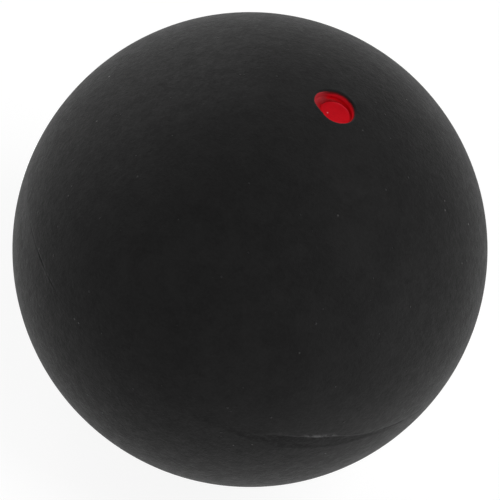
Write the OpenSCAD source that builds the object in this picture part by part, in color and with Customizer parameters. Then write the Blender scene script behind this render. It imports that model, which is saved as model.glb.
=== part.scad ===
// Squash ball: a hollow rubber ball made of two moulded half shells, cemented together at the
// seam, with one inked speed dot in a dimple at the top of the upper shell.
// The origin is the ball's middle, +Z runs out through the dot, and the seam lies in the XY plane.

/* [Ball] */
// Outside diameter of the ball
ball_d = 40; // [36:0.1:46]
// Thickness of the rubber wall
wall = 5.2; // [3.5:0.1:7]

/* [Seam] */
// Thickness of the cured cement between the two shells
cement_t = 0.06; // [0.03:0.01:0.3]
// Radius of the rounded outer edge of each shell, which makes the crease round the ball
seam_edge_r = 0.15; // [0.05:0.01:0.8]
// Radius of the bead of cement that was squeezed out on the inside
bead_r = 0.4; // [0.2:0.05:1]

/* [Dimple for the dot] */
// Diameter of the dimple at the ball's surface
dimple_d = 3.7; // [3.7:0.1:6]
// Diameter of the dimple's flat floor
dimple_floor_d = 3.55; // [3.3:0.05:3.65]
// Depth of the floor under the top of the ball
dimple_depth = 1.05; // [0.9:0.05:1.5]
// Radius of the rounded lip round the dimple
lip_r = 0.14; // [0.05:0.01:0.2]

/* [Ink of the dot] */
// Thickness of the ink film on the dimple's floor and wall
film_t = 0.08; // [0.04:0.01:0.12]
// How far below the dimple's mouth the film stops
film_drop = 0.2; // [0.2:0.05:0.6]
// Diameter of the thick drop of ink that dried on the floor
drop_d = 2.6; // [1.5:0.1:2.6]
// Height of the drop above the floor
drop_h = 0.29; // [0.2:0.01:0.4]
// Radius of the drop's rounded top edge
drop_edge_r = 0.1; // [0.04:0.01:0.15]
// How far the drop dried off the dimple's middle, towards +X
drop_shift = 0.25; // [0:0.05:0.3]

/* [Hidden] */
$fn = 180;
// How far a cut runs past the surface that it cuts
overrun = 0.5;

ball_r = ball_d / 2;
cavity_r = ball_r - wall;
// Height of each shell's flat seam face above or below the seam plane
seam_z = cement_t / 2;
// Middle of the rounded outer edge of the upper shell, as [radius, height]
seam_edge_z = seam_z + seam_edge_r;
seam_edge_x = sqrt(pow(ball_r - seam_edge_r, 2) - pow(seam_edge_z, 2));
seam_edge_middle = [seam_edge_x, seam_edge_z];

floor_z = ball_r - dimple_depth;
floor_r = dimple_floor_d / 2;
mouth_r = dimple_d / 2;
mouth_z = sqrt(pow(ball_r, 2) - pow(mouth_r, 2));
// How much the dimple's wall widens for each unit of height
wall_slope = (mouth_r - floor_r) / (mouth_z - floor_z);
// Unit vectors up along the dimple's wall, and square to it into the rubber
wall_up = [wall_slope, 1] / norm([wall_slope, 1]);
wall_in = [wall_up[1], -wall_up[0]];
// Middle of the rounded lip: one lip radius behind the wall, and one under the ball's surface
lip_start = [floor_r, floor_z] + lip_r * wall_in;
lip_along = lip_start * wall_up;
lip_climb = sqrt(pow(lip_along, 2) + pow(ball_r - lip_r, 2) - lip_start * lip_start) - lip_along;
lip_middle = lip_start + lip_climb * wall_up;

// Radius of the dimple's wall at a height z
function dimple_r(z) = floor_r + (z - floor_z) * wall_slope;

// The sharp corner outside a rounded edge: what lies between the directions a and b from the
// middle of the rounding, but further out than its radius
module corner_waste(middle, a, b, r) {
    reach = r + overrun;
    difference() {
        polygon([middle, middle + a * reach, middle + (a + b) * reach, middle + b * reach]);
        translate(middle) circle(r);
    }
}

// Half of the wall's section above the seam plane, with its rounded outer seam edge
module shell_section() {
    difference() {
        circle(ball_r);
        circle(cavity_r);
        translate([-ball_r - overrun, seam_z - ball_d]) square([ball_d + 2 * overrun, ball_d]);
        translate([-ball_d, 0]) square([ball_d, ball_d]);
        corner_waste(seam_edge_middle, seam_edge_middle / norm(seam_edge_middle), [0, -1], seam_edge_r);
    }
}

// Section of the dimple, narrowed by an inset from its floor and its wall
module dimple_section(inset = 0) {
    low = floor_z + inset;
    high = ball_r + overrun;
    polygon([[0, low], [dimple_r(low) - inset, low], [dimple_r(high) - inset, high], [0, high]]);
}

module upper_shell() {
    color([0.05, 0.05, 0.052])
        rotate_extrude() difference() {
            shell_section();
            dimple_section();
            corner_waste(lip_middle, lip_middle / norm(lip_middle), -wall_in, lip_r);
        }
}

module lower_shell() {
    color([0.05, 0.05, 0.052])
        mirror([0, 0, 1]) rotate_extrude() shell_section();
}

// A flat ring between the two seam faces, with the squeezed bead along the inside of the wall
module seam_cement() {
    color([0.1, 0.09, 0.08])
        rotate_extrude() {
            difference() {
                translate([0, -seam_z]) square([seam_edge_x, cement_t]);
                circle(cavity_r);
            }
            intersection() {
                translate([cavity_r, 0]) circle(bead_r);
                circle(cavity_r);
            }
        }
}

// Section of the thick drop, a flat disc with a rounded top edge
module drop_section() {
    drop_r = drop_d / 2;
    square([drop_r - drop_edge_r, drop_h]);
    square([drop_r, drop_h - drop_edge_r]);
    translate([drop_r - drop_edge_r, drop_h - drop_edge_r]) circle(drop_edge_r);
}

module speed_dot() {
    color([0.66, 0.07, 0.1]) {
        rotate_extrude() difference() {
            intersection() {
                dimple_section();
                square([ball_r, mouth_z - film_drop]);
            }
            dimple_section(film_t);
        }
        translate([drop_shift, 0, floor_z]) rotate_extrude() drop_section();
    }
}

upper_shell();
lower_shell();
seam_cement();
speed_dot();
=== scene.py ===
# Squash ball: two buffed rubber half shells, the crease of their cemented seam, and the red ink
# in the speed dot's dimple. Sizes are in millimetres, named as on the real ball, and become
# metres where a mesh is made.
import math

import bpy
from mathutils import Matrix, Vector, noise


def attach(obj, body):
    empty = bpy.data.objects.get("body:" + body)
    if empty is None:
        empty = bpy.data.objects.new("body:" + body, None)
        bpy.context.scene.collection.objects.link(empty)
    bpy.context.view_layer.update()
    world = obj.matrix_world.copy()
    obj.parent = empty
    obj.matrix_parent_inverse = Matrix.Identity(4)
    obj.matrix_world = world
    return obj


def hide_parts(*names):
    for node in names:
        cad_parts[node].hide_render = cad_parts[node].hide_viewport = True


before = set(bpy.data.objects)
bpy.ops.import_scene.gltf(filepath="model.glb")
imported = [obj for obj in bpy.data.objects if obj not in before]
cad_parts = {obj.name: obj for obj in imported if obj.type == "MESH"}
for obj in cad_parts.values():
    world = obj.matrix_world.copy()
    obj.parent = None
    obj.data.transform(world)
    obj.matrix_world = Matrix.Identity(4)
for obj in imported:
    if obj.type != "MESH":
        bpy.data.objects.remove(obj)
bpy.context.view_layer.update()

MM = 0.001

# Ball and wall. Past SKIN_R a vertex lies on the outer skin, and above CAP_Z what is near the
# pole is the outside or the dimple, not the cavity
BALL_R = 20.0
WALL = 5.2
CAVITY_R = BALL_R - WALL
FLOOR_Z = -BALL_R
SKIN_R = BALL_R - 0.001
CAP_Z = CAVITY_R + 1
# Each section is spun round in this many steps, points this close are joined, and edges past this
# many degrees stay crisp
SPIN_STEPS = 384
JOIN_GAP = 0.001
CRISP_ANGLE = 40

# Buffed skin: how deep its broad and fine unevenness go, and how far from the dimple's mouth the
# skin has them in full
BUFF_BROAD_DEPTH = 0.03
BUFF_FINE_DEPTH = 0.008
BUFF_RISE_W = 2.5

# Seam between the two shells: heights of the loops beside it, close together at the fine line
# where the shells meet and at the groove's upper edge, and the slot that holds the cement
SEAM_LOOPS = (3.1, 2.5, 2.0, 1.65, 1.38, 1.18, 1.04, 0.96, 0.9, 0.84, 0.77, 0.7, 0.63, 0.58, 0.54, 0.5,
              0.46, 0.42, 0.38, 0.34, 0.28, 0.22, 0.16, 0.11, 0.075, 0.045, 0.02, 0.004)
SEAM_START = math.asin(SEAM_LOOPS[0] / BALL_R)
CEMENT_T = 0.06
SEAM_Z = CEMENT_T / 2
CEMENT_RIM_R = 19.87
SLOT_STEP = 0.01
SEAM_FACE_LOOP_R = 17.5
# Wear of the seam is worked out up to this height above and below it
SEAM_REACH = 8

# What changes round the ball is given as bumps, (turn, spread, amount), as steps, (start, length,
# amount), and as stretches, (start, length of rise, end, length of fall). Turns, spreads and
# lengths are in degrees, and an amount is in millimetres or a share of 1. A wave is how far the
# noise along the seam moves a height

# Fine line where the shells meet
LINE_BENDS = ((-52, 20, 0.31), (4, 8, 0.2), (61, 11, 0.12), (52, 6, 0.34), (150, 35, 0.2),
              (-140, 30, -0.15))
LINE_SAG = (5, 8, 48, 14)
LINE_SAG_DEPTH = 0.2
LINE_WAVE = 0.05
LINE_OPENINGS = ((-47, 10, 1), (60, 9, 1.05), (130, 26, 0.8), (-135, 28, 0.8))
LINE_FRONT_OPENING = (4, 8, 34, 10)
LINE_FRONT_SHARE = 0.95
LINE_EVEN_SHARE = 0.7
LINE_GAPS_SHARE = 0.6
LINE_W = 0.09
LINE_WIDENINGS = ((22, 14, 0.16), (62, 10, 0.02))
LINE_DEPTH = 0.05
LINE_SHALLOWS = ((18, 15, -0.045), (50, 6, -0.03))

# Squeezed groove beside the line, at the front right and for a short way at the back
GROOVE_TOP_Z = -0.08
GROOVE_TOP_STEPS = ((21, 9, 0.8), (46, 9, -0.32), (55, 10, -0.4))
GROOVE_BOTTOM_Z = -0.6
GROOVE_BOTTOM_STEPS = ((18, 16, -0.4),)
GROOVE_BOTTOM_RISE = (57, 9, 0.6)
GROOVE_FRONT = (14, 22, 70, 18)
GROOVE_BACK = (178, 18, 0.9)
GROOVE_TOP_WAVE = 0.06
GROOVE_BOTTOM_WAVE = 0.05
GROOVE_DEPTH = 0.06
GROOVE_FLOOR_RISE_SHARE = 0.85
GROOVE_EDGE_W = 0.34
GROOVE_CRISP_EDGE = (41, 7, -0.2)
GROOVE_FOOT_W = 0.45
# Steps end here, after a fall of this length, so that nothing jumps where the turns start again
STEPS_END = (150, 50)

# Narrow bands that follow the line or an edge: their bump round the ball, how far above the line
# or outside the edge they lie, and their width. Three are smeared cement with painted shade, two
# are pale scuffs with a painted highlight
UPPER_SMEAR_AND_SHADE_BAND = ((40, 8, 0.6), -0.3, 0.09)
FOOT_SMEAR_AND_SHADE_BAND = ((41, 6, 0.2), 0, 0.1)
SECOND_SMEAR_AND_SHADE_BAND = ((58, 9, 0.7), 0.1, 0.1)
LOWER_HIGHLIGHT_SCUFF_BAND = ((-44, 4, 0.3), -0.2, 0.12)
HIGHER_HIGHLIGHT_SCUFF_BAND = ((58, 7, 0.12), 0.35, 0.2)

# Smeared cement in the groove and along the line, darkened further as painted shade
SMEAR_AND_SHADE_EVEN_SHARE = 0.5
SMEAR_AND_SHADE_THICK_PLACE = (28, 8, 0.45)
SMEAR_AND_SHADE_STRIPES_SHARE = 0.8
SMEAR_AND_SHADE_TOP_W = 0.14
SMEAR_AND_SHADE_SPILL = 0.15
SMEAR_AND_SHADE_LINE_SHARE = 0.85
SMEAR_AND_SHADE_LINE_W = 0.13
SMEAR_AND_SHADE_WIDENINGS = ((11, 9, 0.2), (26, 7, 0.3))

# Pale scuffs on the groove's upper edge, a painted highlight where the edge catches light
HIGHLIGHT_SCUFF_FRONT = (35, 2.5, 46.5, 5)
HIGHLIGHT_SCUFF_PLACES = ((30, 3, 0.15), (174, 9, 0.3))
HIGHLIGHT_SCUFF_EDGE_RISE = 0.02
HIGHLIGHT_SCUFF_EDGE_W = 0.2

# Rubbed rubber, painted lighter as sheen: a zone under the line, and one above the groove that fades
# out upwards
POLISH_AND_SHEEN_UNDER_LINE = ((-63, 13, 1), (18, 9, 0.15))
POLISH_AND_SHEEN_LINE_W = 0.06
POLISH_AND_SHEEN_UNDER_REACH = 2.2
POLISH_AND_SHEEN_RIGHT = (24, 14, 85, 25)
POLISH_AND_SHEEN_RIGHT_SHARE = 0.42
POLISH_AND_SHEEN_EDGE_W = 0.2
POLISH_AND_SHEEN_FULL_Z = 0.6
POLISH_AND_SHEEN_OVER_REACH = 7

# Dimple in the upper shell, a little out of round and off the pole, as moulded
WALL_R = 1.8
WALL_FOOT_R = 1.74
WALL_TOP_Z = BALL_R - 0.4
DIMPLE_FLOOR_Z = BALL_R - 1.05
WALL_LEAN = math.atan2(WALL_R - WALL_FOOT_R, WALL_TOP_Z - DIMPLE_FLOOR_Z)
FILLET_R = 0.38
FILLET_MIDDLE = (WALL_FOOT_R - FILLET_R, DIMPLE_FLOOR_Z + FILLET_R)
LIP_R = 0.14
MOUTH_R = WALL_R + LIP_R
# Painted light that lifts the shaded lip at the back, painted shade that darkens the lip at the right,
# and how far from the dimple's middle both are worked
LIP_PAINTED_LIGHT = (180, 38, 0.36)
LIP_PAINTED_LIGHT_R = WALL_R + 0.5
LIP_PAINTED_LIGHT_W = 0.35
LIP_PAINTED_SHADE_BAND = ((122, 22, 0.5), 0.35, 0.35)
LIP_SHADING_R = WALL_R + 1
DIMPLE_OVAL = (1.03, 0.928)
DIMPLE_SHIFT = (-0.02, -0.22)
DIMPLE_TAPER = 0.09
DIMPLE_TAPER_REACH = 1.5
DIMPLE_FRONT_TAPER = 0.005
DIMPLE_FRONT_DENT = (-25, 26, 0.085)
DIMPLE_BLEND_R = 4.5
# Past this radius a point that is moved off the pole keeps its distance from the ball's middle
ROUND_FROM_R = WALL_R + 0.01

# Ink in the dimple: a thin film, and the thick pad that dried on the floor. INK_BITE is how far
# the ink reaches into the rubber behind it
INK_BITE = 0.01
FILM_T = 0.05
FILM_TOP_Z = 19.62
FILM_FEATHER = 0.06
FILM_FILLS = ((-60, 45, 0.22), (88, 25, 0.14))
FILM_FILL_START_R = 0.4
FILM_FILL_RISE_W = 0.4
FILM_FILL_H = 0.3
FILM_EDGE_RISES = ((-85, 35, 0.07), (170, 60, 0.09))
FILM_RAGGED = 0.03
PAD_R = 1.33
PAD_TOP_Z = 19.24
PAD_EDGE_R = 0.09
PAD_FOOT_SPREAD = 0.02
PAD_SHIFT = (0.28, 0.02)
PAD_RAGGED_SHARE = 0.03
PAD_FLAT_SIDE = (-128, 35, -0.08)
# Band at the pad's rim that takes the painted highlight: its height and width
PAD_HIGHLIGHT_H = 0.06
PAD_HIGHLIGHT_W = 0.2
# Painted glint: a pale pink spot on the pad, its middle, core radius and outer radius
PAD_GLINT = (-0.29, -0.68, PAD_TOP_Z)
PAD_GLINT_CORE_R = 0.04
PAD_GLINT_R = 0.1

# How thick a coat the ink shows, from 0 to 1, which also carries painted shade: the red is darker
# lower in the dimple, and darkest on the floor at the back left. It is given at the film's edge, on
# its wall and on its floor, each fading in below a height, and on the pad, where painted light and a
# painted highlight raise it
EDGE_COAT = 0.25
EDGE_COAT_Z = FILM_TOP_Z + 0.1
EDGE_FADE_W = 0.24
EDGE_LONG_FADE = (-140, 32, 0.22)
WALL_COAT_AND_SHADE = 0.11
WALL_COAT_Z = FILM_TOP_Z - 0.2
WALL_FADE_W = 0.16
FLOOR_COAT_AND_SHADE = 0.14
FLOOR_COAT_Z = DIMPLE_FLOOR_Z + 0.2
FLOOR_FADE_W = 0.15
# Painted light: a lower value gives the floor a lighter red at these turns, lifting the shaded gap
# beside the pad at the front left
FLOOR_LIGHTENING = 0.13
FLOOR_LIGHT_PLACES = ((-60, 38, 1), (125, 45, 0.55))
# Painted shade: a higher value darkens the floor at the back left
FLOOR_SHADE_PLACE = (-140, 32, 0.05)
PAD_COAT = 0.8
# Painted light on the pad's near side, and a painted highlight on its far rim
PAD_FRONT_LIGHT = (35, 38, 0.1)
PAD_FRONT_LIGHT_R = 0.6
PAD_RIM_HIGHLIGHT = (168, 55, 0.2)

# Bits of dust on the rubber: turn in degrees, height, radius, and how pale from 0 to 1
DUST_BITS = (
    (29, 17.4, 0.13, 0.3), (26, 8.9, 0.1, 0.24), (73, 19.73, 0.1, 0.22), (-88, 9.7, 0.17, 1),
    (90, 15.8, 0.12, 0.33), (99, 13.5, 0.12, 0.6), (-28.5, 0.2, 0.11, 0.3), (-27, 0.3, 0.1, 0.35),
    (-70, 9.8, 0.11, 0.42), (93, 16.1, 0.1, 0.45), (25, -1.3, 0.09, 0.5), (87, 12.3, 0.1, 0.6),
    (21, -2, 0.08, 0.4), (143, 18.3, 0.11, 0.7), (45, -1.9, 0.1, 0.7), (-53, 6.1, 0.09, 0.25),
    (-49, 0.6, 0.11, 0.6), (-11, -6.9, 0.09, 0.4), (165, 12, 0.11, 0.3), (-160, 6, 0.1, 0.4),
    (-125, 3, 0.1, 0.3), (130, -8, 0.11, 0.3), (-150, -13, 0.1, 0.4),
)
DUST_R = BALL_R - 0.03


# Places on the ball are given by their turn round Z, in degrees from the side that faces the
# camera, growing towards +X
def turn_of(x, y):
    return math.degrees(math.atan2(x, -y))


def smooth(share):
    """0 below 0 and 1 above 1, with an even S between them."""
    share = max(0.0, min(1.0, share))
    return share * share * (3 - 2 * share)


def near(value, middle, spread):
    """1 at the middle, falling smoothly to 0 well past the spread."""
    return math.exp(-(((value - middle) / spread) ** 2))


def bump(turn, place):
    """How much of a bump's amount there is at a turn."""
    middle, spread, amount = place
    away = (turn - middle + 180) % 360 - 180
    return amount * near(away, 0, spread)


def bumps(turn, places):
    return sum(bump(turn, place) for place in places)


def band(turn, height, level, place):
    """How much of a band there is at a turn and a height, beside the level that it follows."""
    round_ball, above, width = place
    return bump(turn, round_ball) * near(height, level + above, width)


def stretch(turn, start, rise, end, fall):
    """1 along a stretch between two turns, with a smooth rise after its start and fall to its end."""
    return smooth((turn - start) / rise) * smooth((end - turn) / fall)


def steps(turn, places):
    """The sum of smooth steps up or down at some turns, back to 0 towards the back."""
    end, fall = STEPS_END
    total = sum(amount * smooth((turn - start) / length) for start, length, amount in places)
    return total * smooth((end - turn) / fall)


def unevenness(turn, per_turn, seed):
    """Noise from -1 to 1 along the seam, the same all the way down it."""
    angle = math.radians(turn)
    along = Vector((math.cos(angle), math.sin(angle), 0)) * per_turn
    return max(-1.0, min(1.0, 1.6 * noise.noise(along + Vector((seed, 0.7, 8.1)))))


def deselect_all():
    bpy.ops.object.select_all(action="DESELECT")


def rounding(middle, radius, start, end, count):
    """Points (r, z) round a middle, from one angle above the horizon to another."""
    angles = [start + (end - start) * i / count for i in range(count + 1)]
    return [(middle[0] + radius * math.cos(a), middle[1] + radius * math.sin(a)) for a in angles]


def arc(radius, start, end, count):
    """Points (r, z) on a circle about the ball's middle."""
    return rounding((0, 0), radius, start, end, count)


def spin_section(name, section):
    """Draws a section edge by edge from one vertex, spins it round Z and closes it."""
    deselect_all()
    bpy.ops.mesh.primitive_plane_add(size=MM, location=(0, 0, 0))
    piece = bpy.context.object
    piece.name = name
    bpy.ops.object.mode_set(mode="EDIT")
    bpy.ops.mesh.select_all(action="SELECT")
    bpy.ops.mesh.merge(type="CENTER")
    pen = Vector((0, 0, 0))
    for r, z in section:
        point = Vector((r * MM, 0, z * MM))
        if pen.length == 0:
            bpy.ops.transform.translate(value=point)
        else:
            bpy.ops.mesh.extrude_region_move(TRANSFORM_OT_translate={"value": point - pen})
        pen = point
    bpy.ops.mesh.select_all(action="SELECT")
    bpy.ops.mesh.spin(steps=SPIN_STEPS, angle=math.tau, center=(0, 0, 0), axis=(0, 0, 1))
    bpy.ops.mesh.select_all(action="SELECT")
    bpy.ops.mesh.remove_doubles(threshold=JOIN_GAP * MM)
    bpy.ops.mesh.normals_make_consistent(inside=False)
    bpy.ops.object.mode_set(mode="OBJECT")
    bpy.ops.object.shade_smooth_by_angle(angle=math.radians(CRISP_ANGLE))
    return piece


def seam_side():
    """Section from the ball's surface above the seam, down to the seam face and into the cavity."""
    edge = [(math.sqrt(BALL_R**2 - z**2), z) for z in SEAM_LOOPS]
    slot = [(CEMENT_RIM_R, SEAM_LOOPS[-1]), (CEMENT_RIM_R - SLOT_STEP, SEAM_Z)]
    face = [(SEAM_FACE_LOOP_R, SEAM_Z)]
    return edge + slot + face + arc(CAVITY_R, math.asin(SEAM_Z / CAVITY_R), math.pi / 2, 20)


def dimple_side():
    """Section from the middle of the dimple's floor, up its wall and over the rounded lip."""
    floor = [(FILLET_MIDDLE[0] * share, DIMPLE_FLOOR_Z) for share in (0, 0.3, 0.6, 0.85)]
    fillet = rounding(FILLET_MIDDLE, FILLET_R, -math.pi / 2, -WALL_LEAN, 10)
    lip_middle = (MOUTH_R, math.sqrt((BALL_R - LIP_R) ** 2 - MOUTH_R**2))
    lip_end = math.atan2(lip_middle[1], lip_middle[0])
    lip = rounding(lip_middle, LIP_R, math.pi - WALL_LEAN, lip_end, 12)
    return floor + fillet + lip


def line_height(turn):
    """Height of the fine line between the shells, which wanders beside the seam plane."""
    sag = LINE_SAG_DEPTH * stretch(turn, *LINE_SAG)
    return bumps(turn, LINE_BENDS) - sag + LINE_WAVE * unevenness(turn, 17, 9.4)


def line_share(turn):
    """How open the fine line is at a turn, from 0 to 1, here and there closed up."""
    share = bumps(turn, LINE_OPENINGS) + LINE_FRONT_SHARE * stretch(turn, *LINE_FRONT_OPENING)
    return max(0, share * (LINE_EVEN_SHARE + LINE_GAPS_SHARE * unevenness(turn, 22, 4.2)))


def groove_top(turn):
    level = GROOVE_TOP_Z + steps(turn, GROOVE_TOP_STEPS)
    return level + GROOVE_TOP_WAVE * unevenness(turn, 14, 3.3)


def groove_bottom(turn):
    level = GROOVE_BOTTOM_Z + steps(turn, GROOVE_BOTTOM_STEPS) + bump(turn, GROOVE_BOTTOM_RISE)
    return level + GROOVE_BOTTOM_WAVE * unevenness(turn, 14, 6.1)


def groove_share(turn):
    """How much of the squeezed groove there is at a turn, from 0 to 1."""
    return stretch(turn, *GROOVE_FRONT) + bump(turn, GROOVE_BACK)


def seam_depth(turn, height):
    """How far the skin lies under the round of the ball, by the height above the seam."""
    width = LINE_W + bumps(turn, LINE_WIDENINGS)
    depth = LINE_DEPTH + bumps(turn, LINE_SHALLOWS)
    line = depth * line_share(turn) * near(height, line_height(turn), width)
    top, bottom = groove_top(turn), groove_bottom(turn)
    fall = smooth((top - height) / (GROOVE_EDGE_W + bump(turn, GROOVE_CRISP_EDGE)))
    floor = max(0, 1 - GROOVE_FLOOR_RISE_SHARE * (top - height) / (top - bottom))
    foot = smooth((height - bottom) / GROOVE_FOOT_W)
    return line + GROOVE_DEPTH * groove_share(turn) * fall * floor * foot


def smear_and_shade_share(turn, height):
    """How much cement is smeared over the rubber, which makes it darker, darkened further as painted
    shade in the groove and along the fine line.
    """
    top, bottom = groove_top(turn), groove_bottom(turn)
    inside = smooth((top - height) / SMEAR_AND_SHADE_TOP_W)
    inside *= smooth((height - bottom + SMEAR_AND_SHADE_SPILL) / (2 * SMEAR_AND_SHADE_SPILL))
    angle = math.radians(turn)
    stripes = noise.noise(Vector((7 * math.cos(angle), 7 * math.sin(angle), 5 * height + 2.3)))
    coat_and_shade = SMEAR_AND_SHADE_EVEN_SHARE + bump(turn, SMEAR_AND_SHADE_THICK_PLACE) + SMEAR_AND_SHADE_STRIPES_SHARE * stripes
    smear_and_shade = inside * groove_share(turn) * max(0, coat_and_shade)
    width = SMEAR_AND_SHADE_LINE_W + bumps(turn, SMEAR_AND_SHADE_WIDENINGS)
    smear_and_shade += SMEAR_AND_SHADE_LINE_SHARE * line_share(turn) * near(height, line_height(turn), width)
    smear_and_shade += band(turn, height, top, UPPER_SMEAR_AND_SHADE_BAND)
    smear_and_shade += band(turn, height, bottom, FOOT_SMEAR_AND_SHADE_BAND)
    smear_and_shade += band(turn, height, bottom, SECOND_SMEAR_AND_SHADE_BAND)
    return min(1.0, smear_and_shade)


def scuff_and_highlight_share(turn, height):
    """How much the rubber is scuffed pale in bits, a painted highlight along the groove's edge and the
    fine line.
    """
    edge = near(height, groove_top(turn) + HIGHLIGHT_SCUFF_EDGE_RISE, HIGHLIGHT_SCUFF_EDGE_W)
    scuff_and_highlight = edge * (stretch(turn, *HIGHLIGHT_SCUFF_FRONT) + bumps(turn, HIGHLIGHT_SCUFF_PLACES))
    scuff_and_highlight += band(turn, height, line_height(turn), LOWER_HIGHLIGHT_SCUFF_BAND)
    scuff_and_highlight += band(turn, height, line_height(turn), HIGHER_HIGHLIGHT_SCUFF_BAND)
    return min(1.0, scuff_and_highlight)


def polish_and_light_share(turn, height):
    """How much the rubber is polished and painted lighter as sheen, under the fine line and above the
    groove at the right.
    """
    under = smooth((line_height(turn) - height) / POLISH_AND_SHEEN_LINE_W)
    under *= smooth(1 + height / POLISH_AND_SHEEN_UNDER_REACH)
    over = smooth((height - groove_top(turn)) / POLISH_AND_SHEEN_EDGE_W)
    over *= max(0, 1 - (height - POLISH_AND_SHEEN_FULL_Z) / POLISH_AND_SHEEN_OVER_REACH)
    right = POLISH_AND_SHEEN_RIGHT_SHARE * stretch(turn, *POLISH_AND_SHEEN_RIGHT)
    return under * bumps(turn, POLISH_AND_SHEEN_UNDER_LINE) + over * right


def lip_light_and_shade(turn, flat):
    """Painted light lifting the dimple's lip at the back, and painted shade on it at the right."""
    lip_lift = bump(turn, LIP_PAINTED_LIGHT) * smooth((LIP_PAINTED_LIGHT_R - flat) / LIP_PAINTED_LIGHT_W)
    return lip_lift, band(turn, flat, WALL_R, LIP_PAINTED_SHADE_BAND)


def buffing(place):
    """How far hand buffing took the rubber down, in millimetres, by a place on the ball in metres."""
    broad = noise.noise(place * 90 + Vector((3.1, 7.7, 1.9)))
    fine = noise.noise(place * 320 + Vector((11.3, 2.9, 5.3)))
    return BUFF_BROAD_DEPTH * (1 + broad) / 2 + BUFF_FINE_DEPTH * (1 + fine) / 2


def keep_on_vertices(piece, name, shares):
    """Keeps a number for each vertex on the piece, for its material to read."""
    kept = piece.data.attributes.new(name, "FLOAT", "POINT")
    kept.data.foreach_set("value", shares)


def settle_surface(piece):
    """Works the seam and the buffed unevenness into a shell's outer skin, and keeps the shares of
    smeared cement with painted shade, scuffs with a painted highlight, and polished rubber with
    painted sheen."""
    kept = {"smear_and_shade": smear_and_shade_share, "scuff_and_highlight": scuff_and_highlight_share, "polish_and_painted_light": polish_and_light_share}
    shares = {name: [] for name in kept}
    for vertex in piece.data.vertices:
        place = vertex.co
        turn = turn_of(place.x, place.y)
        height = place.z / MM
        flat = math.hypot(place.x, place.y) / MM
        on_skin = place.length > SKIN_R * MM
        at_seam = on_skin and abs(height) < SEAM_REACH
        for name, share_at in kept.items():
            shares[name].append(share_at(turn, height) if at_seam else 0)
        # On the dimple's lip, its painted light and painted shade take the places of the seam's shares
        if flat < LIP_SHADING_R and height > CAP_Z:
            shares["polish_and_painted_light"][-1], shares["smear_and_shade"][-1] = lip_light_and_shade(turn, flat)
        if not on_skin:
            continue
        down = buffing(place)
        if at_seam:
            down += seam_depth(turn, height)
        if height > 0:
            down *= smooth((flat - MOUTH_R) / BUFF_RISE_W)
        vertex.co = place * (1 - down * MM / place.length)
    for name, values in shares.items():
        keep_on_vertices(piece, name, values)


def set_off_pole(piece):
    """Makes the dimple and its ink out of round and off the pole, fading out along the surface."""
    for vertex in piece.data.vertices:
        place = vertex.co / MM
        flat = math.hypot(place.x, place.y)
        if place.z < CAP_Z or flat > DIMPLE_BLEND_R:
            continue
        share = 1 - smooth((flat - MOUTH_R) / (DIMPLE_BLEND_R - MOUTH_R))
        taper = DIMPLE_TAPER * smooth(-place.x / DIMPLE_TAPER_REACH)
        if place.y < 0:
            taper += bump(turn_of(place.x, place.y), DIMPLE_FRONT_DENT) + DIMPLE_FRONT_TAPER
        x = place.x * (1 + (DIMPLE_OVAL[0] - 1) * share) + DIMPLE_SHIFT[0] * share
        y = place.y * (1 + (DIMPLE_OVAL[1] - taper - 1) * share) + DIMPLE_SHIFT[1] * share
        z = place.z
        if flat > ROUND_FROM_R:
            z = math.sqrt(place.length**2 - x**2 - y**2)
        vertex.co = Vector((x, y, z)) * MM


def upper_half():
    dimple = dimple_side()
    outer_start = math.atan2(dimple[-1][1], dimple[-1][0])
    outside = arc(BALL_R, outer_start, SEAM_START, 52)[1:-1]
    piece = spin_section("upper_half", dimple + outside + seam_side())
    settle_surface(piece)
    set_off_pole(piece)
    return piece


def lower_half():
    outside = arc(BALL_R, math.pi / 2, SEAM_START, 56)[:-1]
    section = [(r, -z) for r, z in outside + seam_side()]
    piece = spin_section("lower_half", section)
    settle_surface(piece)
    return piece


def ragged_edge(place):
    """Noise from -1 to 1 over the ink's outline."""
    return noise.noise(Vector((place.x, place.y, 0)) * 2.2 + Vector((5.5, 1.1, 0)))


def film_bowl():
    """The film's surface round the foot of the dimple's wall."""
    return rounding(FILLET_MIDDLE, FILLET_R - FILM_T, -math.pi / 2, -WALL_LEAN, 8)


def film_section():
    """Section of the film over the floor and up the wall, and back behind it inside the rubber."""
    floor = [(FILLET_MIDDLE[0] * share, DIMPLE_FLOOR_Z + FILM_T) for share in (0, 0.4, 0.7, 0.9)]
    bowl = film_bowl()
    low_r, low_z = bowl[-1]
    climb = [low_z + (FILM_TOP_Z - low_z) * share for share in (0.15, 0.3, 0.45, 0.6, 0.75, 0.9, 1)]
    wall = [(low_r + (z - low_z) * math.tan(WALL_LEAN), z) for z in climb]
    feather = (wall[-1][0] + FILM_T + INK_BITE, FILM_TOP_Z + FILM_FEATHER)
    behind = rounding(FILLET_MIDDLE, FILLET_R + INK_BITE, -WALL_LEAN, -math.pi / 2, 6)
    return floor + bowl + wall + [feather] + behind + [(0, DIMPLE_FLOOR_Z - INK_BITE)]


def film_coat_and_shade(turn, height):
    """How thick the film of ink looks, from 0 at its faded top edge to about 0.5 on the floor, darker
    lower down as painted shade.
    """
    edge_fade_w = EDGE_FADE_W + bump(turn, EDGE_LONG_FADE)
    edge = EDGE_COAT * smooth((EDGE_COAT_Z - height) / edge_fade_w)
    wall = WALL_COAT_AND_SHADE * smooth((WALL_COAT_Z - height) / WALL_FADE_W)
    # Painted light: where the floor is made a lighter red
    thin = max(bump(turn, place) for place in FLOOR_LIGHT_PLACES)
    floor = FLOOR_COAT_AND_SHADE - FLOOR_LIGHTENING * thin + bump(turn, FLOOR_SHADE_PLACE)
    return edge + wall + floor * smooth((FLOOR_COAT_Z - height) / FLOOR_FADE_W)


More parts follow.
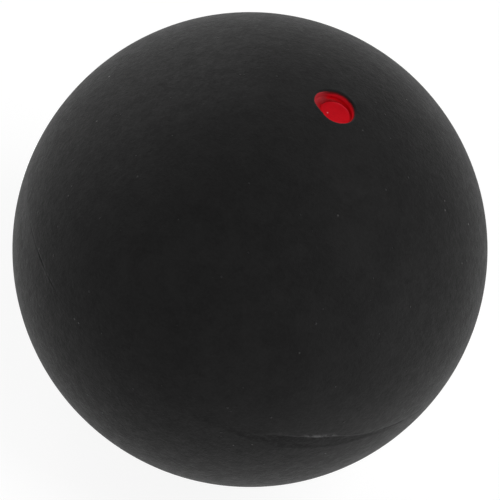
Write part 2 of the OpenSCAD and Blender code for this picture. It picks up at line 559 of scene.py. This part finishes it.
def ink_film():
    """The thin film on the dimple's floor and up its wall, thicker where ink filled the corner."""
    piece = spin_section("ink_film", film_section())
    low_z = film_bowl()[-1][1]
    coats_and_shade = []
    for vertex in piece.data.vertices:
        place = vertex.co / MM
        flat = math.hypot(place.x, place.y)
        turn = turn_of(place.x, place.y)
        coats_and_shade.append(film_coat_and_shade(turn, place.z))
        filled = bumps(turn, FILM_FILLS) * smooth((flat - FILM_FILL_START_R) / FILM_FILL_RISE_W)
        vertex.co.z += filled * smooth((low_z - place.z) / FILM_FILL_H) * MM
        if place.z > low_z:
            rise = bumps(turn, FILM_EDGE_RISES) + FILM_RAGGED * ragged_edge(place)
            lift = rise * (place.z - low_z) / (FILM_TOP_Z - low_z)
            grow = 1 + math.tan(WALL_LEAN) * lift / flat
            vertex.co = Vector((place.x * grow, place.y * grow, place.z + lift)) * MM
    keep_on_vertices(piece, "coat_and_shade", coats_and_shade)
    return piece


def ink_pad():
    """The thick pad of ink that dried on the floor, not quite round."""
    foot_z = DIMPLE_FLOOR_Z + FILM_T / 2
    top = [(PAD_R * share, PAD_TOP_Z) for share in (0, 0.3, 0.6, 0.8, 0.86)]
    edge = rounding((PAD_R - PAD_EDGE_R, PAD_TOP_Z - PAD_EDGE_R), PAD_EDGE_R, math.pi / 2, 0, 8)
    piece = spin_section("ink_pad", top + edge + [(PAD_R + PAD_FOOT_SPREAD, foot_z), (0, foot_z)])
    coats_and_shade = []
    for vertex in piece.data.vertices:
        place = vertex.co / MM
        flat = math.hypot(place.x, place.y)
        turn = turn_of(place.x, place.y)
        # Painted light on the near side and a painted highlight on the far rim raise the value towards
        # pale pink
        on_highlight_rim = place.z > PAD_TOP_Z - PAD_HIGHLIGHT_H and flat > PAD_R - PAD_HIGHLIGHT_W
        front_light = bump(turn, PAD_FRONT_LIGHT) * smooth((flat - PAD_FRONT_LIGHT_R) / PAD_FRONT_LIGHT_R)
        coats_and_shade.append(PAD_COAT + front_light + on_highlight_rim * bump(turn, PAD_RIM_HIGHLIGHT))
        grow = 1 + PAD_RAGGED_SHARE * ragged_edge(place) + bump(turn, PAD_FLAT_SIDE)
        vertex.co.x = (place.x * grow + PAD_SHIFT[0]) * MM
        vertex.co.y = (place.y * grow + PAD_SHIFT[1]) * MM
    keep_on_vertices(piece, "coat_and_shade", coats_and_shade)
    return piece


def dot_ink():
    film, pad = ink_film(), ink_pad()
    for piece in (film, pad):
        set_off_pole(piece)
    deselect_all()
    pad.select_set(True)
    film.select_set(True)
    bpy.context.view_layer.objects.active = film
    bpy.ops.object.join()
    film.name = "dot_ink"
    return film


def material(name, base, roughness, specular):
    made = bpy.data.materials.new(name)
    made.use_nodes = True
    shader = made.node_tree.nodes["Principled BSDF"]
    shader.inputs["Base Color"].default_value = (*base, 1)
    shader.inputs["Roughness"].default_value = roughness
    shader.inputs["Specular IOR Level"].default_value = specular
    return made, made.node_tree, shader


def grey(level):
    return (level, level, level)


def node(tree, kind, **values):
    """Adds a node; values that name a socket set it, and the rest set the node itself."""
    made = tree.nodes.new(kind)
    for key, value in values.items():
        if hasattr(made, key):
            setattr(made, key, value)
        else:
            made.inputs[key.replace("_", " ")].default_value = value
    return made


def link(tree, source, target):
    tree.links.new(source, target)


def object_place(tree):
    return node(tree, "ShaderNodeTexCoord").outputs["Object"]


def kept_on_vertices(tree, name):
    return node(tree, "ShaderNodeAttribute", attribute_name=name).outputs["Fac"]


def ranged(tree, source, from_low, from_high, to_low=0.0, to_high=1.0):
    """Turns one range of a value into another, with an even S between the ends."""
    made = node(tree, "ShaderNodeMapRange", interpolation_type="SMOOTHSTEP")
    ends = {"From Min": from_low, "From Max": from_high, "To Min": to_low, "To Max": to_high}
    for name, value in ends.items():
        made.inputs[name].default_value = value
    link(tree, source, made.inputs["Value"])
    return made.outputs["Result"]


def combined(tree, operation, first, second):
    made = node(tree, "ShaderNodeMath", operation=operation)
    for place, value in enumerate((first, second)):
        if isinstance(value, (int, float)):
            made.inputs[place].default_value = value
        else:
            link(tree, value, made.inputs[place])
    return made.outputs["Value"]


def mixed(tree, share, first, second):
    """A colour between two colours; each may be a plain colour or a socket."""
    made = node(tree, "ShaderNodeMix", data_type="RGBA")
    link(tree, share, made.inputs["Factor"])
    for name, value in (("A", first), ("B", second)):
        socket = next(s for s in made.inputs if s.name == name and s.type == "RGBA")
        if isinstance(value, tuple):
            socket.default_value = (*value, 1)
        else:
            link(tree, value, socket)
    return next(s for s in made.outputs if s.type == "RGBA")


def fine_noise(tree, place, scale, detail=2.0, roughness=0.5, lacunarity=2.13):
    made = node(tree, "ShaderNodeTexNoise", Scale=scale, Detail=detail, Roughness=roughness,
                Lacunarity=lacunarity)
    link(tree, place, made.inputs["Vector"])
    return made.outputs["Fac"]


def spots(tree, place, scale, shift, core, edge):
    """1 at the core of scattered spots and 0 past their edge, all moved by a shift in metres."""
    moved = node(tree, "ShaderNodeVectorMath", operation="ADD")
    link(tree, place, moved.inputs[0])
    moved.inputs[1].default_value = shift
    cells = node(tree, "ShaderNodeTexVoronoi", Scale=scale)
    link(tree, moved.outputs["Vector"], cells.inputs["Vector"])
    return ranged(tree, cells.outputs["Distance"], core, edge, 1.0, 0.0)


def distance_to(tree, place, point):
    """Distance from a point that is given in millimetres."""
    away = node(tree, "ShaderNodeVectorMath", operation="DISTANCE")
    link(tree, place, away.inputs[0])
    away.inputs[1].default_value = [part * MM for part in point]
    return away.outputs["Value"]


def dust_share(tree, place):
    """How pale the bits of dust are, with 0 elsewhere."""
    share = 0.0
    for turn, height, radius, pale in DUST_BITS:
        angle = math.radians(turn)
        flat = math.sqrt(DUST_R**2 - height**2)
        away = distance_to(tree, place, (flat * math.sin(angle), -flat * math.cos(angle), height))
        bit = ranged(tree, away, 0.4 * radius * MM, radius * MM, pale, 0.0)
        share = combined(tree, "MAXIMUM", bit, share)
    return share


def roughen(tree, shader, relief, strength, depth):
    """Gives the shader a bump of this depth in millimetres from a relief."""
    made = node(tree, "ShaderNodeBump", Strength=strength, Distance=depth * MM)
    link(tree, relief, made.inputs["Height"])
    link(tree, made.outputs["Normal"], shader.inputs["Normal"])


def rubber_material():
    """Buffed black rubber with grain, lint, crumbs and pits with a painted shadow, cement smeared
    beside the seam with painted shade, pale scuffs as a painted highlight, and polished zones painted
    lighter as sheen.
    """
    made, tree, shader = material("black_rubber", grey(0.008), 0.6, 0.075)
    shader.inputs["Sheen Weight"].default_value = 0.08
    shader.inputs["Sheen Roughness"].default_value = 0.5
    place = object_place(tree)

    cloud = fine_noise(tree, place, 280.0, 6.0, 0.85)
    colour = mixed(tree, ranged(tree, cloud, 0.36, 0.64), grey(0.0054), grey(0.0105))
    grit = fine_noise(tree, place, 1100.0, 4.0, 0.9)
    link(tree, ranged(tree, grit, 0.36, 0.64, 0.53, 0.67), shader.inputs["Roughness"])
    mottle = fine_noise(tree, place, 4200.0)
    colour = mixed(tree, ranged(tree, mottle, 0.3, 0.7, 0.0, 0.2), colour, grey(0.02))
    # Painted sheen and painted light: polished rubber lighter beside the seam, and the shaded lip
    # lifted
    colour = mixed(tree, kept_on_vertices(tree, "polish_and_painted_light"), colour, grey(0.027))
    # Painted highlight: pale scuffed bits along the groove's upper edge and beside the fine line
    bits = ranged(tree, fine_noise(tree, place, 2500.0, 3.0), 0.36, 0.56)
    scuff_and_highlight = combined(tree, "MULTIPLY", kept_on_vertices(tree, "scuff_and_highlight"), bits)
    colour = mixed(tree, scuff_and_highlight, colour, grey(0.1))
    # Smeared cement and painted shade: darker in the groove, along the fine line and on the dimple's
    # lip at the right
    flecks = ranged(tree, fine_noise(tree, place, 2600.0, 3.0), 0.36, 0.58, 0.1, 1.0)
    smear_and_shade = combined(tree, "MULTIPLY", kept_on_vertices(tree, "smear_and_shade"), flecks)
    colour = mixed(tree, smear_and_shade, colour, grey(0.001))

    lint = spots(tree, place, 420.0, (0.0, 0.0, 0.0), 0.012, 0.024)
    # Painted shadow: dark dents set just off the lint bits, as their shaded side
    pit_shadow = spots(tree, place, 420.0, (0.00011, 0.00004, 0.00009), 0.015, 0.028)
    crumb = spots(tree, place, 520.0, (0.0004, 0.0009, 0.0002), 0.03, 0.06)
    dust = dust_share(tree, place)
    colour = mixed(tree, pit_shadow, colour, grey(0.0015))
    colour = mixed(tree, crumb, colour, grey(0.03))
    colour = mixed(tree, lint, colour, (0.034, 0.034, 0.033))
    colour = mixed(tree, dust, colour, (0.2, 0.2, 0.195))
    link(tree, colour, shader.inputs["Base Color"])

    relief = fine_noise(tree, place, 2100.0, 3.0, 0.75)
    for mark, rise in ((pit_shadow, -1.4), (lint, 2.4), (dust, 5.0), (crumb, 2.0), (scuff_and_highlight, 0.6)):
        relief = combined(tree, "ADD", relief, combined(tree, "MULTIPLY", mark, rise))
    roughen(tree, shader, relief, 1.0, 0.05)
    return made


# Red of the ink by how thick its coat looks, with darker reds as painted shade lower in the dimple:
# where a colour starts, where it is full, the colour
INK_COAT_AND_SHADE_REDS = (
    (0.0, 0.24, (0.84, 0.02, 0.036)),
    (0.27, 0.35, (0.66, 0.001, 0.007)),
    (0.39, 0.48, (0.46, 0.001, 0.005)),
    (0.5, 0.54, (0.33, 0.001, 0.004)),
    (0.55, 0.78, (0.76, 0.006, 0.016)),
)
INK_FADED = (0.03, 0.009, 0.01)
# Ink at the left, pale from wear and painted sheen, and where it is palest: the X where it is full,
# and the X where it ends
INK_WORN_SHEEN_X = (-1.5, -0.7)
INK_PALEST_SHEEN_X = (-1.6, -0.9)
INK_WORN_SHEEN_RAGGED = 1.2


def worn_and_sheen_share(tree, along, mottle, coat_and_shade):
    """How much wear and painted sheen make the film pale, at the left and not on the pad, with a
    ragged end.
    """
    off_middle = combined(tree, "SUBTRACT", mottle, 0.5)
    ragged = combined(tree, "MULTIPLY", off_middle, INK_WORN_SHEEN_RAGGED * MM)
    full, end = INK_WORN_SHEEN_X
    worn_and_sheen = ranged(tree, combined(tree, "ADD", along, ragged), full * MM, end * MM, 1.0, 0.0)
    return combined(tree, "MULTIPLY", worn_and_sheen, ranged(tree, coat_and_shade, 0.55, 0.75, 0.9, 0.0))


def ink_material():
    """Dried red ink, bright on the pad, dark where it fades out and darker lower in the dimple as
    painted shade, with a painted highlight and a painted glint on the pad, and pale at the left
    from wear and painted sheen.
    """
    made, tree, shader = material("red_ink", (0.68, 0.004, 0.010), 0.45, 0.07)
    place = object_place(tree)
    parts = node(tree, "ShaderNodeSeparateXYZ")
    link(tree, place, parts.inputs["Vector"])
    along = parts.outputs["X"]
    coat_and_shade = kept_on_vertices(tree, "coat_and_shade")
    colour = INK_FADED
    for low, high, red in INK_COAT_AND_SHADE_REDS:
        colour = mixed(tree, ranged(tree, coat_and_shade, low, high), colour, red)
    # Painted highlight: pale pink where the value is high, on the pad's far rim and near side
    colour = mixed(tree, ranged(tree, coat_and_shade, 0.82, 1.0, 0.0, 0.7), colour, (0.82, 0.035, 0.06))
    mottle = fine_noise(tree, place, 1100.0, 3.0)
    colour = mixed(tree, ranged(tree, mottle, 0.4, 0.7, 0.0, 0.18), colour, (0.42, 0.002, 0.006))

    # Pale ink at the left, from wear and painted sheen
    worn_and_sheen = worn_and_sheen_share(tree, along, mottle, coat_and_shade)
    full, end = INK_PALEST_SHEEN_X
    palest_sheen = ranged(tree, along, full * MM, end * MM, 1.0, 0.0)
    colour = mixed(tree, worn_and_sheen, colour, mixed(tree, palest_sheen, (0.32, 0.025, 0.032), (0.5, 0.045, 0.056)))
    # Painted glint on the pad
    away = distance_to(tree, place, PAD_GLINT)
    glint_share = ranged(tree, away, PAD_GLINT_CORE_R * MM, PAD_GLINT_R * MM, 0.8, 0.0)
    colour = mixed(tree, glint_share, colour, (0.9, 0.3, 0.33))
    link(tree, colour, shader.inputs["Base Color"])
    link(tree, ranged(tree, worn_and_sheen, 0.0, 1.0, 0.45, 0.65), shader.inputs["Roughness"])
    roughen(tree, shader, mottle, 0.25, 0.02)
    return made


def cement_material():
    """Cured black cement with small lumps."""
    made, tree, shader = material("cured_cement", grey(0.009), 0.8, 0.15)
    lumps = fine_noise(tree, object_place(tree), 700.0, lacunarity=2.0)
    roughen(tree, shader, lumps, 0.5, 0.05)
    return made


def dress(piece, slot, finish, *nodes):
    piece.data.materials.clear()
    piece.data.materials.append(finish)
    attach(piece, "root")
    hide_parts(*nodes)


rubber = rubber_material()
dress(upper_half(), "shell_rubber", rubber, "upper_shell")
dress(lower_half(), "shell_rubber", rubber, "lower_shell")
dress(dot_ink(), "dot_ink", ink_material(), "speed_dot")
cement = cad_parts["seam_cement"]
cement.data.materials.clear()
cement.data.materials.append(cement_material())


# Camera: far off, above the seam, and rolled as the photo is. Its lengths, and those of the floor
# and the lamps, are in metres
CAMERA_ELEVATION = 45.5
CAMERA_ROLL = 30.8
CAMERA_DISTANCE = 0.8
IMAGE_WIDTH_PX = 500
BALL_RADIUS_PX = 237.8
BALL_MIDDLE_PX = (250.0, 249.55)

elevation = math.radians(CAMERA_ELEVATION)
roll = math.radians(CAMERA_ROLL)
back = Vector((0, -math.cos(elevation), math.sin(elevation)))
level_up = Vector((0, math.sin(elevation), math.cos(elevation)))
level_right = Vector((1, 0, 0))
image_right = level_right * math.cos(roll) + level_up * math.sin(roll)
image_up = level_up * math.cos(roll) - level_right * math.sin(roll)
ball_r = BALL_R * MM
focal_px = BALL_RADIUS_PX * math.sqrt(CAMERA_DISTANCE**2 - ball_r**2) / ball_r

deselect_all()
right_px = IMAGE_WIDTH_PX / 2 - BALL_MIDDLE_PX[0]
up_px = BALL_MIDDLE_PX[1] - IMAGE_WIDTH_PX / 2
aside = (image_right * right_px + image_up * up_px) * CAMERA_DISTANCE / focal_px
bpy.ops.object.camera_add(location=back * CAMERA_DISTANCE + aside)
camera = bpy.context.object
camera.rotation_euler = Matrix([image_right, image_up, back]).transposed().to_euler()
camera.data.lens = focal_px * camera.data.sensor_width / IMAGE_WIDTH_PX
camera.data.clip_start = 0.05
camera.data.clip_end = 10
bpy.context.scene.camera = camera


# Floor and room: seen white, while the floor keeps the ball's shadow and the room lights it softly
FLOOR_SIZE = 8
FLOOR_GLOW = 1.18
FLOOR_GLOW_SHARE = 0.75
ROOM_LIGHT = 0.1


def rays_that_see_white(tree):
    """1 for the rays that see the background itself: camera, glossy and transmission rays."""
    path = node(tree, "ShaderNodeLightPath")
    seen = combined(tree, "MAXIMUM", path.outputs["Is Camera Ray"], path.outputs["Is Glossy Ray"])
    return combined(tree, "MAXIMUM", seen, path.outputs["Is Transmission Ray"])


def floor_material():
    made = bpy.data.materials.new("white_floor")
    made.use_nodes = True
    tree = made.node_tree
    tree.nodes.clear()
    paint = node(tree, "ShaderNodeBsdfDiffuse", Color=(*grey(0.86), 1))
    glow = node(tree, "ShaderNodeEmission", Strength=FLOOR_GLOW)
    mix = node(tree, "ShaderNodeMixShader")
    glow_share = combined(tree, "MULTIPLY", rays_that_see_white(tree), FLOOR_GLOW_SHARE)
    link(tree, glow_share, mix.inputs["Fac"])
    link(tree, paint.outputs["BSDF"], mix.inputs[1])
    link(tree, glow.outputs["Emission"], mix.inputs[2])
    out = node(tree, "ShaderNodeOutputMaterial")
    link(tree, mix.outputs["Shader"], out.inputs["Surface"])
    return made


deselect_all()
bpy.ops.mesh.primitive_plane_add(size=FLOOR_SIZE, location=(0, 0, FLOOR_Z * MM))
floor = bpy.context.object
floor.name = "floor"
floor.data.materials.append(floor_material())

world = bpy.data.worlds.new("studio")
bpy.context.scene.world = world
world.use_nodes = True
room = world.node_tree.nodes["Background"]
room.inputs["Color"].default_value = (1, 1, 1, 1)
strength = ranged(world.node_tree, rays_that_see_white(world.node_tree), 0.0, 1.0, ROOM_LIGHT, 1.0)
link(world.node_tree, strength, room.inputs["Strength"])

# Soft lamps, all at one distance: name, direction from the ball, size and watts
LAMP_DISTANCE = 0.5
LAMPS = (
    ("lamp_behind_left", (-0.7, 0.61, 0.36), 0.25, 0.74),
    ("lamp_left", (-1, 0.12, 0.06), 0.25, 0.72),
    ("lamp_right", (0.97, -0.05, 0.14), 0.2, 0.64),
    ("lamp_front", (0, -1, 0.35), 0.4, 0.5),
    ("lamp_top", (0.39, -0.02, 0.89), 0.3, 0.96),
)


def soft_lamp(name, direction, size, watts):
    deselect_all()
    bpy.ops.object.light_add(type="AREA", location=direction.normalized() * LAMP_DISTANCE)
    lamp = bpy.context.object
    lamp.name = name
    lamp.rotation_euler = direction.to_track_quat("Z", "Y").to_euler()
    lamp.data.size = size
    lamp.data.energy = watts
    lamp.visible_camera = False


for name, direction, size, watts in LAMPS:
    soft_lamp(name, Vector(direction), size, watts)

bpy.context.scene.view_settings.view_transform = "Standard"
